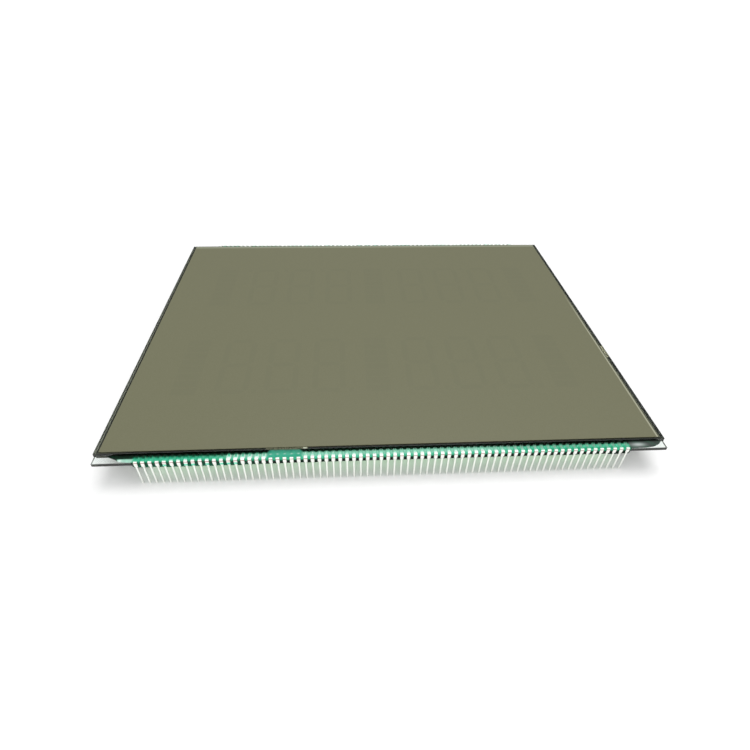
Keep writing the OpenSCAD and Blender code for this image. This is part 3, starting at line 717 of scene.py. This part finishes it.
def between(value, rise, fall):
    """1 between two pairs of limits, rising over the first pair and falling over the second."""
    return smooth_step(*rise, value) * (1 - smooth_step(*fall, value))


def plate_edge(walk):
    """Depth in from the plate's front, height over the ledge and outward angle, at a walk."""
    turn = np.clip(walk / TURN_L, 0, 1) + np.clip((walk - TURN_L - FACE_L) / TURN_L, 0, 1)
    angle = np.pi / 2 * (1 + turn)
    depth = EDGE_R * (1 + np.cos(angle)) + np.maximum(-walk, 0) + np.maximum(walk - UNDER_WALK, 0)
    height = EDGE_R * (np.sin(angle) - 1) - np.clip(walk - TURN_L, 0, FACE_L)
    return depth, height, angle


def finger_half(depth):
    """Half the width of the upper finger, which narrows towards its end."""
    return np.interp(depth, (FINGER_TAPER_FROM, LEDGE_D), (CLIP_HALF, FINGER_END_HALF))


def finger_top(depth):
    """Height of the upper finger over the ledge: down to its touching point and up to its end."""
    slope = FINGER_LOW_H + np.maximum(FINGER_LOW_D - depth, 0) * FINGER_SLOPE
    flare = FINGER_LOW_H + np.maximum(depth - FINGER_LOW_D - FINGER_FLARE_FROM, 0) * FINGER_FLARE
    return mix(np.maximum(slope, flare), PAST_FINGER_H, smooth_step(*FINGER_END, depth))


class Bead:
    """One row's resin, as thickness and looks over a grid of places along the row and walks."""

    def __init__(self, toe, dosed, seed):
        rng = random.Random(seed)
        pins = np.arange(PINS)
        row = [PITCH * i - ROW_HALF + step for i in pins for step in PIN_COLUMNS]
        left = np.arange(toe[0][0], -ROW_END - 0.1, RUNOUT_STEP)
        right = np.arange(toe[-1][0], ROW_END + 0.1, -RUNOUT_STEP)[::-1]
        self.x = np.concatenate([left, row, [ROW_END], right])[:, None]
        self.dosed = dosed
        self.pin = np.clip(np.round((self.x + ROW_HALF) / PITCH), 0, PINS - 1).astype(int)
        self.offset = np.clip(self.x - (self.pin * PITCH - ROW_HALF), -1, 1)
        self.off = np.abs(self.offset)
        gap = np.clip(np.floor((self.x + ROW_HALF) / PITCH).astype(int), 0, PINS - 2)
        # Each pin's and each gap's own share of resin
        cover = np.array([start + rng.uniform(*COVER_STRAY) for start in np.interp(pins, *COVER_FROM)])
        if not dosed:
            cover = np.array([rng.uniform(*COVER_PLAIN) for i in pins])
        drop = np.array([rng.uniform(*DROP_STRAY) for i in pins])
        if dosed:
            drop = drop * np.interp(pins, *DROP_SIZES)
        run = np.array([rng.random() for i in pins])
        fill = np.array([rng.uniform(*FILL_STRAY) for i in pins])
        skin = np.array([rng.uniform(*SKIN_T) for i in pins])
        self.heavy = (1 - smooth_step(*HEAVY_FADE, self.pin)) * dosed
        self.cover = cover[self.pin]
        self.drop = drop[gap]
        self.fill = fill[gap]
        self.skin = skin[self.pin]
        self.run = run[self.pin] * self.heavy * smooth_step(2, 5, self.pin)
        # Past the row's ends the resin runs out to a toe
        self.in_row = 1 - smooth_step(*OUT_OF_ROW, np.abs(self.x))
        around = [np.interp(self.x + step, *np.transpose(toe)) for step in (-TOE_BLUR, 0, TOE_BLUR)]
        self.toe_depth = np.mean(around, axis=0)
        self.toe_walk = EDGE_R - self.toe_depth
        self.dose = (1 - smooth_step(*DOSE_EDGE, np.abs(self.x - DOSE_X))) * dosed

    def walks(self):
        """The walk at each column and row. Past the row's ends the skirt rows shrink onto the toe."""
        on_ledge = mix(INNER_WALK, self.toe_walk, np.array([LEDGE_ROWS]))
        over_edge = mix(self.toe_walk, np.array([SKIRT_WALKS]), self.in_row)
        return np.concatenate([on_ledge, over_edge], axis=1)

    def on_ledge(self, walk):
        return walk <= self.toe_walk + SLACK

    def ledge_thickness(self, depth):
        """Low between two fingers and climbing their sides, thin over them, and one tongue past them."""
        rise = depth / LEDGE_D
        valley = (VALLEY_T - 0.04 * rise + 0.05 * self.heavy) * self.fill
        valley = valley + FILLET_T * np.exp(-(LEDGE_D - depth) / FILLET_L)
        covered = smooth_step(*COVER_EDGE, depth - self.cover)
        top = finger_top(depth)
        over = top + mix(BARE_T, self.skin * (1 + self.heavy), covered)
        side = top + mix(*SIDE_T, covered)
        ledge = mix(mix(valley, side, self.beside() ** CLIMB_POWER), over, self.on_clip())
        inward = np.clip((depth - self.toe_depth) / RUNOUT_ROUND, 0, 1)
        tongue = RUNOUT_H * np.sqrt(inward * (2 - inward)) * (0.75 + 0.25 * rise)
        ledge = mix(tongue, ledge, self.in_row)
        # The second dose lies over the fingers and the gaps alike
        thick = np.interp(depth, *DOSE_T)
        thick = thick + 0.04 * np.sin(2.1 * self.x + 1.3 * depth) - 0.06 * self.off * (1 - rise)
        thick = np.where(self.off < CLIP_SIDE, np.maximum(thick, top + 0.03), thick)
        return mix(ledge, thick, self.dose)

    def skirt_thickness(self, walk):
        """A web between two clips down the plate's face, thickest where it hangs, and runs down some."""
        web = np.interp(walk, WEB_WALKS, WEB_T) + np.interp(walk, WEB_WALKS, HANG_T) * self.drop
        web = web + 0.07 * self.beside() ** 2 + 0.03 * self.heavy
        behind = 0.02 + np.interp(walk, *RUN_T) * smooth_step(*RUN_FROM, self.run) * self.in_row
        return mix(web, behind, self.on_clip()) * self.in_row

    def thickness(self, walk, depth):
        """Resin over the glass, square to it."""
        out = np.where(self.on_ledge(walk), self.ledge_thickness(depth), self.skirt_thickness(walk))
        return np.maximum(out, THINNEST)

    def beside(self):
        return np.clip((1 - self.off) / (1 - CLIP_HALF), 0, 1)

    def on_clip(self):
        return 1 - smooth_step(*CLIP_EDGE, self.off)

    def on_finger(self):
        return 1 - smooth_step(*FINGER_EDGE, self.off)

    def rim(self):
        """The line where the resin climbs a finger's side."""
        return bell(self.off, *RIM_OFF)

    def pool(self, depth):
        """A darker spot on each finger of the right end, over its touching point."""
        return bell(depth, *POOL_DEPTH)

    def gap_tone(self, depth):
        at_right = smooth_step(*RIGHT_FADE, self.pin)
        gap = mix(np.interp(depth, *GAP_TONES), np.interp(depth, *HEAVY_TONES), self.heavy)
        # Painted shade: the right pins' gaps are darker by the front plate; they are also darker towards the
        # toe
        gap = gap - 0.20 * at_right * smooth_step(1.6, 2.1, depth)
        gap = gap - 0.12 * at_right * (1 - smooth_step(0.6, 1.0, depth))
        if not self.dosed:
            gap = gap * mix(0.4, 1, smooth_step(0.8, 1.4, depth))
        in_middle = (1 - smooth_step(0.75, 1.0, self.off)) * smooth_step(0.2, 0.6, depth / LEDGE_D)
        # Painted highlight along each finger's side; the gap's middle is darker
        return gap - 0.10 * in_middle + 0.10 * self.rim()

    def skin_tone(self, depth):
        # Painted shade: the skin is darker by the front plate, more so on the right end's pins
        skin = np.interp(depth - self.cover, *SKIN_TONES) - 0.30 * smooth_step(1.7, 2.3, depth)
        skin = skin + 0.10 * self.heavy * (1 - smooth_step(1.4, 1.8, depth))
        at_first = (1 - smooth_step(*FIRST_FADE, self.pin)) * (1 - smooth_step(0.6, 1.0, depth))
        skin = mix(skin, 0.6, 0.8 * at_first)
        deep_end = 0.52 - 0.2 * self.pool(depth) - 0.38 * smooth_step(1.6, 2.2, depth)
        return mix(skin, deep_end, 0.8 * smooth_step(*RIGHT_FADE, self.pin))

    def tone_and_shade(self, walk, depth):
        """From nearly black, 0, to pale, 1: the resin's tone by its thickness, with painted shade by the
        front plate, down the face, underneath and past the row's ends.
        """
        clear = mix(self.gap_tone(depth), self.skin_tone(depth), self.on_finger())
        clear = mix(clear, np.interp(depth, *DOSE_TONES), self.dose)
        # Past the row's ends it is pale at the left and dark and streaky at the right. The dark at the
        # right, past the left tip and by the front plate is painted shade from under the display
        pale = 0.5 * smooth_step(*TIP_FROM_X, self.x) * (1 - smooth_step(1.15, 1.6, depth)) + 0.03
        streaky = 0.06 + 0.04 * np.sin(1.7 * self.x + 2 * depth)
        clear = mix(np.where(self.x < 0, pale, streaky), clear, self.in_row)
        # Down the face and underneath: painted shade, near black where it hangs between the clips
        down = mix(np.interp(walk, *DOWN_TONES), np.interp(walk, *HEAVY_DOWN), self.heavy)
        down = mix(down, 0.8, self.on_finger() * smooth_step(0.5, 0.6, walk))
        return np.where(self.on_ledge(walk), clear, down * self.in_row)

    def highlights(self, depth):
        """Painted highlights and reflections on the resin on the ledge."""
        on_finger = self.on_finger()
        in_gap = (1 - on_finger) * (1 - self.dose)
        at_right = smooth_step(*RIGHT_FADE, self.pin)
        looped = (self.pin > HEAVY_TO) & (self.pin <= LOOPS_TO)
        loops = looped * self.rim() * between(depth, *LOOPS_DEPTH)
        blobs = bell(self.off, *BLOBS_OFF) * bell(depth, *BLOBS_DEPTH) * (self.pin > DOSE_TO)
        blobs = blobs * (1 - smooth_step(*BLOBS_FADE, self.pin))
        sheen = in_gap * between(self.pin, *SHEEN_PINS) * between(depth, *SHEEN_DEPTH)
        crests = in_gap * bell(depth, mix(*CREST_DEPTHS, self.heavy), CREST_W)
        crests = crests * (1 - smooth_step(*CRESTS_FADE, self.pin)) * (1 - self.heavy)
        tents = bell(self.off, *TENTS_OFF) * between(depth, *TENTS_DEPTH)
        tents = tents * (self.pin > BLOBS_TO) * (1 - 0.6 * at_right)
        dashes = bell(self.off, *DASHES_OFF) * bell(depth, *DASHES_DEPTH) * self.dose
        skinned = on_finger * smooth_step(0, 0.3, depth - self.cover) * (1 - smooth_step(1.5, 1.95, depth))
        elsewhere = 0.2 * (1 - self.dose) * (1 - self.heavy)
        rightmost = 0.28 - 0.16 * smooth_step(56, 64, self.pin)
        skinned = skinned * mix(elsewhere, rightmost, at_right * (1 - self.pool(depth)))
        shares = (0.9 * loops, 0.6 * blobs, 0.2 * sheen, 0.22 * crests, 0.28 * tents, 0.3 * dashes, skinned)
        highlights = np.maximum.reduce(np.broadcast_arrays(*shares))
        return np.maximum(highlights, self.end_highlights(depth)) if self.dosed else highlights

    def end_highlights(self, depth):
        """Painted reflection on the skin past the row's left end, with a paler tip, and a painted highlight
        spot at the right.
        """
        at_left = (self.x < 0) * (1 - self.in_row) * smooth_step(*TIP_FROM_X, self.x)
        skin = 0.35 * at_left * (1 - smooth_step(1.0, 1.45, depth))
        tip = 0.4 * bell(self.x, -76.6, 0.5) * (1 - smooth_step(0.9, 1.4, depth))
        highlight_spot = 0.42 * bell(self.x, 75.8, 2.0) * bell(depth, 1.35, 0.6)
        return np.maximum(skin + tip, highlight_spot + 0.05 * (self.x > 0) * (1 - self.in_row))

    def looks(self, walk, depth):
        """Tone with painted shade, painted highlights, dust stain and blueness of the resin."""
        on_ledge = self.on_ledge(walk)
        stain = 0.6 * self.dose * smooth_step(2.2, 2.55, depth)
        looks = [self.tone_and_shade(walk, depth)]
        looks += [look * on_ledge for look in (self.highlights(depth), stain, self.dose)]
        return [np.clip(look, 0, 1) for look in looks]

    def model(self, name, turned):
        """Two layers, laid over the glass and closed round their rim."""
        walk = self.walks()
        columns, rows = walk.shape
        sheet = start_layers(name, columns - 1, rows - 1)
        points = np.empty(len(sheet.data.vertices) * 3, np.float32)
        sheet.data.vertices.foreach_get("co", points)
        points = points.reshape(-1, 3)
        column = np.rint((points[:, 0] + 0.5) * (columns - 1)).astype(int)
        row = np.rint((0.5 - points[:, 1]) * (rows - 1)).astype(int)
        outer = points[:, 2] > 0.5
        depth, height, angle = plate_edge(walk)
        thickness = self.thickness(walk, depth)
        lift = np.where(outer, thickness[column, row], -CONTACT / MM)
        # The columns beside a finger keep to its narrowing sides
        narrow = finger_half(depth) / CLIP_HALF
        outside = (self.off - SIDE_COLUMN) / (1 - SIDE_COLUMN)
        drawn_in = np.where(self.off < SIDE_COLUMN, self.off * narrow, mix(SIDE_COLUMN * narrow, 1, outside))
        x = self.x + np.sign(self.offset) * (drawn_in - self.off) * self.in_row
        side = 1 if turned else -1
        points[:, 0] = -side * x[column, row]
        out_y = ROW_Y - (depth[column, row] + lift * np.cos(angle[column, row]))
        points[:, 1] = side * out_y
        points[:, 2] = LEDGE_Z + height[column, row] + lift * np.sin(angle[column, row])
        sheet.data.vertices.foreach_set("co", (points * MM).ravel())
        shades = np.stack([value[column, row] for value in self.looks(walk, depth)], axis=1)
        look = sheet.data.attributes.new("resin_look", "FLOAT_COLOR", "POINT")
        look.data.foreach_set("color", shades.astype(np.float32).ravel())
        turn_outwards(merged_within=MERGED_WITHIN)
        bpy.ops.object.shade_smooth_by_angle(angle=CREASE_ANGLE)
        sheet.data.materials.append(resin)
        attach(sheet, "root")
        sheet.select_set(False)
        return sheet


RESIN_TONES = ((0, (0.002, 0.008, 0.004, 1)), (0.25, (0.003, 0.075, 0.035, 1)), (0.5, (0.02, 0.34, 0.18, 1)),
               (0.75, (0.10, 0.64, 0.40, 1)), (1, (0.66, 0.88, 0.80, 1)))
RESIN_GREEN = (0.02, 0.34, 0.18, 1)
# The colour of the painted highlights
RESIN_HIGHLIGHT = (0.85, 0.92, 0.90, 1)
RESIN_STAIN = (0.10, 0.10, 0.05, 1)
RESIN_TEAL = (0.02, 0.22, 0.16, 1)
TEAL_SHARE = 0.55
RESIN_ROUGHNESS = 0.1
RESIN_SHINE = 0.1
CLOUDS_PER_MM = 1.4
CLOUD_DETAIL = 2
CLOUD_STIR = 0.3
CLOUD_SPREAD = (0.4, 0.7)
WET_ROUGHNESS = (0.06, 0.16)
DOSE_DULL = 0.25
DEEP_DULL = 0.5
DEEP_TO = (0.05, 0.25)
COAT_ROUGHNESS = 0.1
COAT_FROM = (0.2, 0.5)
COAT_SHARE = 0.55
DOSE_COAT_LOSS = 0.8
WAVE_DEPTH = 0.03 * MM


def make_resin():
    finish, shader = make_finish("resin_green_wet", RESIN_GREEN, RESIN_ROUGHNESS, RESIN_SHINE)
    tree = finish.node_tree
    look = tree.nodes.new("ShaderNodeAttribute")
    look.attribute_name = "resin_look"
    part = tree.nodes.new("ShaderNodeSeparateColor")
    tree.links.new(look.outputs["Color"], part.inputs["Color"])
    clear, highlights, stain = (part.outputs[name] for name in ("Red", "Green", "Blue"))
    dose = look.outputs["Alpha"]
    place = tree.nodes.new("ShaderNodeTexCoord")
    noise = tree.nodes.new("ShaderNodeTexNoise")
    noise.inputs["Scale"].default_value = CLOUDS_PER_MM / MM
    noise.inputs["Detail"].default_value = CLOUD_DETAIL
    tree.links.new(place.outputs["Object"], noise.inputs["Vector"])
    cloud = noise.outputs["Fac"]
    stir = calc(tree, "MULTIPLY", calc(tree, "SUBTRACT", cloud, 0.5), CLOUD_STIR)
    # Tones from black to pale, which carry the painted shade
    tones = tree.nodes.new("ShaderNodeValToRGB")
    tree.links.new(calc(tree, "ADD", clear, stir), tones.inputs["Fac"])
    for position, color in RESIN_TONES[1:-1]:
        tones.color_ramp.elements.new(position)
    for stop, (position, color) in zip(tones.color_ramp.elements, RESIN_TONES):
        stop.position = position
        stop.color = color
    result = choose(tree, calc(tree, "MULTIPLY", dose, TEAL_SHARE), tones.outputs["Color"], RESIN_TEAL)
    result = choose(tree, stain, result, RESIN_STAIN)
    # Painted highlights and reflections, mixed in pale
    result = choose(tree, highlights, result, RESIN_HIGHLIGHT)
    tree.links.new(result, shader.inputs["Base Color"])
    rough = ramp_between(tree, cloud, CLOUD_SPREAD, *WET_ROUGHNESS)
    dull = calc(tree, "MULTIPLY", dose, DOSE_DULL)
    dull = calc(tree, "ADD", dull, ramp_between(tree, clear, DEEP_TO, DEEP_DULL, 0))
    tree.links.new(calc(tree, "ADD", rough, dull), shader.inputs["Roughness"])
    wet = ramp_between(tree, clear, COAT_FROM, 0, COAT_SHARE)
    wet = calc(tree, "MULTIPLY", wet, calc(tree, "MULTIPLY_ADD", dose, -DOSE_COAT_LOSS, 1))
    tree.links.new(wet, shader.inputs["Coat Weight"])
    shader.inputs["Coat Roughness"].default_value = COAT_ROUGHNESS
    bump = tree.nodes.new("ShaderNodeBump")
    bump.inputs["Distance"].default_value = WAVE_DEPTH
    tree.links.new(cloud, bump.inputs["Height"])
    tree.links.new(bump.outputs["Normal"], shader.inputs["Normal"])
    return finish


resin = make_resin()
front_bead = Bead(LEFT_TOE + RIGHT_TOE, True, 7).model("front_bead", False)
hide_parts("front_resin")
plain_left = tuple((-x, depth) for x, depth in reversed(PLAIN_TOE))
rear_bead = Bead(plain_left + PLAIN_TOE, False, 8).model("rear_bead", True)
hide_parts("rear_resin")

# Resin smear
# Above the second dose of resin some of it was wiped over the front plate's bare margin. It dried rough,
# took up dust and ends in a lump, painted pale as a highlight.
SMEAR_X = (-35.6, -23.4)
SMEAR_STEP = 0.1
SMEAR_ROWS = 7
SMEAR_H = 0.05
SMEAR_FOOT_H = 0.005
SMEAR_MARGIN = 0.02
SMEAR_RAGGED = 0.18
SMEAR_UNEVEN = (0.25, 1)
SMEAR_DARK = (0.02, 0.024, 0.012, 1)
SMEAR_OLIVE = (0.15, 0.155, 0.095, 1)
SMEAR_SHINE = 0.2
SMEAR_ROUGHNESS = 0.6
SMEAR_ROUGHNESS_RANGE = (0.5, 0.75)
SMEAR_SPECKS = 2.2
SMEAR_DENTS = 0.02 * MM
LUMP_HIGHLIGHT = (0.42, 0.45, 0.34, 1)
LUMP_X = -24.2
LUMP_W = 0.5
LUMP_H = 0.17
LUMP_EDGE = (0.3, 0.8)


def make_dusty_resin():
    dusty, shader = make_finish("resin_dusty", SMEAR_OLIVE, SMEAR_ROUGHNESS, SMEAR_SHINE)
    grain = add_grain(dusty, shader, SMEAR_SPECKS, (SMEAR_DARK, SMEAR_OLIVE),
                      SMEAR_ROUGHNESS_RANGE, SMEAR_DENTS)
    tree = dusty.node_tree
    # Painted highlight: the lump at the right end is painted pale
    off_lump = calc(tree, "ABSOLUTE", calc(tree, "SUBTRACT", find_place(tree)["X"], LUMP_X * MM))
    on_lump = ramp_mm(tree, off_lump, LUMP_EDGE, 1, 0)
    tree.links.new(choose(tree, on_lump, grain.outputs["Color"], LUMP_HIGHLIGHT), shader.inputs["Base Color"])
    return dusty


def make_smear():
    rng = random.Random(9)
    low, high = (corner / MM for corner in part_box("front_glass"))
    film_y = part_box("front_polarizer")[0].y / MM
    columns = round((SMEAR_X[1] - SMEAR_X[0]) / SMEAR_STEP)
    smear = start_layers("resin_smear", columns, SMEAR_ROWS)
    ragged = [rng.uniform(0, SMEAR_RAGGED) ** 1.3 for i in range(columns + 1)]
    height = [[rng.uniform(*SMEAR_UNEVEN) for j in range(SMEAR_ROWS + 1)] for i in range(columns + 1)]
    for vertex in smear.data.vertices:
        i = round((vertex.co.x + 0.5) * columns)
        j = round((vertex.co.y + 0.5) * SMEAR_ROWS)
        x = mix(*SMEAR_X, i / columns)
        y = mix(low.y + SMEAR_MARGIN, film_y - SMEAR_MARGIN - ragged[i], j / SMEAR_ROWS)
        z = high.z - CONTACT / MM
        if vertex.co.z > 0.5:
            rim = min(i, j, columns - i, SMEAR_ROWS - j, 2) / 2
            lump = LUMP_H * bell(x, LUMP_X, LUMP_W)
            z = high.z + SMEAR_FOOT_H + (SMEAR_H * height[i][j] + lump) * rim
        vertex.co = (x * MM, y * MM, z * MM)
    turn_outwards()
    bpy.ops.object.shade_smooth_by_angle(angle=CREASE_ANGLE)
    smear.data.materials.append(make_dusty_resin())
    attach(smear, "root")
    smear.select_set(False)


make_smear()

# Floor and light
# White paper in a white room that is brighter in front than behind and at its sides, with a broad
# lamp high up behind the object, a little to the right. A weak green lamp under the front ledge
# stands for the daylight that comes down through the resin.
PAPER_WHITE = (0.93, 0.93, 0.93, 1)
PAPER_TONES = ((0.925, 0.925, 0.925, 1), (0.935, 0.935, 0.935, 1))
PAPER_ROUGHNESS = 1
PAPER_SPECKS = 0.5
FLOOR_SIZE = 30
ROOM_WHITE = (1, 1, 1, 1)
ROOM_LIGHT = 0.93
ROOM_FALL = 0.7
ROOM_SIDES = 0.35
LAMP_POWER = 1.4
LAMP_SPREAD = math.radians(45)
LAMP_TURN = (math.radians(-18.5), math.radians(7), 0)
GLOW_DEPTH = 8
GLOW_BEHIND = 2.5
GLOW_Z = 5
GLOW_POWER = 0.0013
GLOW_MINT = (0.6, 1, 0.6)
GLOW_SPREAD = math.radians(110)
bpy.ops.mesh.primitive_plane_add(size=FLOOR_SIZE)
floor = bpy.context.object
floor.name = "floor"
paper, paper_shader = make_finish("paper_white", PAPER_WHITE, PAPER_ROUGHNESS, 0)
add_grain(paper, paper_shader, PAPER_SPECKS, PAPER_TONES, (PAPER_ROUGHNESS, PAPER_ROUGHNESS))
floor.data.materials.append(paper)
floor.select_set(False)

room = bpy.data.worlds.new("white_room")
room.use_nodes = True
tree = room.node_tree
tree.nodes["Background"].inputs["Color"].default_value = ROOM_WHITE
towards = tree.nodes.new("ShaderNodeTexCoord")
part = tree.nodes.new("ShaderNodeSeparateXYZ")
tree.links.new(towards.outputs["Generated"], part.inputs["Vector"])
brightness = calc(tree, "MULTIPLY_ADD", part.outputs["Y"], -ROOM_FALL, ROOM_LIGHT)
brightness = calc(tree, "MULTIPLY_ADD", calc(tree, "ABSOLUTE", part.outputs["X"]), -ROOM_SIDES, brightness)
# The camera sees the room plain white all round
seen = tree.nodes.new("ShaderNodeLightPath").outputs["Is Camera Ray"]
tree.links.new(calc(tree, "MAXIMUM", brightness, seen), tree.nodes["Background"].inputs["Strength"])
bpy.context.scene.world = room
bpy.context.scene.view_settings.view_transform = "Standard"

lamp_data = bpy.data.lights.new("daylight", "SUN")
lamp_data.energy = LAMP_POWER
lamp_data.angle = LAMP_SPREAD
lamp = bpy.data.objects.new("daylight", lamp_data)
lamp.rotation_euler = LAMP_TURN
bpy.context.scene.collection.objects.link(lamp)

glow_data = bpy.data.lights.new("green_glow", "AREA")
glow_data.shape = "RECTANGLE"
glow_data.size = 2 * ROW_HALF * MM
glow_data.size_y = GLOW_DEPTH * MM
glow_data.energy = GLOW_POWER
glow_data.color = GLOW_MINT
glow_data.spread = GLOW_SPREAD
glow = bpy.data.objects.new("green_glow", glow_data)
glow.location = (0, -(ROW_Y - GLOW_BEHIND - GLOW_DEPTH / 2) * MM, GLOW_Z * MM)
glow.visible_camera = False
glow.visible_glossy = False
glow.visible_transmission = False
bpy.context.scene.collection.objects.link(glow)

# Camera
# It stands in front of the display, just left of its middle, and looks down on the front row with a
# slight tilt.
CAMERA_PLACE = (-11.7053 * MM, -165.9518 * MM, 120.9093 * MM)
DOWN = math.radians(39.9071)
TURN = math.radians(4.2271)
TILT = math.radians(1.5666)
LENS = 24.1746
SENSOR_W = 36
CLIP_START = 0.005
lens = bpy.data.cameras.new("camera")
lens.lens = LENS
lens.sensor_width = SENSOR_W
lens.clip_start = CLIP_START
camera = bpy.data.objects.new("camera", lens)
camera.matrix_world = (
    Matrix.Translation(CAMERA_PLACE)
    @ Matrix.Rotation(-TURN, 4, "Z")
    @ Matrix.Rotation(math.pi / 2 - DOWN, 4, "X")
    @ Matrix.Rotation(TILT, 4, "Z")
)
bpy.context.scene.collection.objects.link(camera)
bpy.context.scene.camera = camera
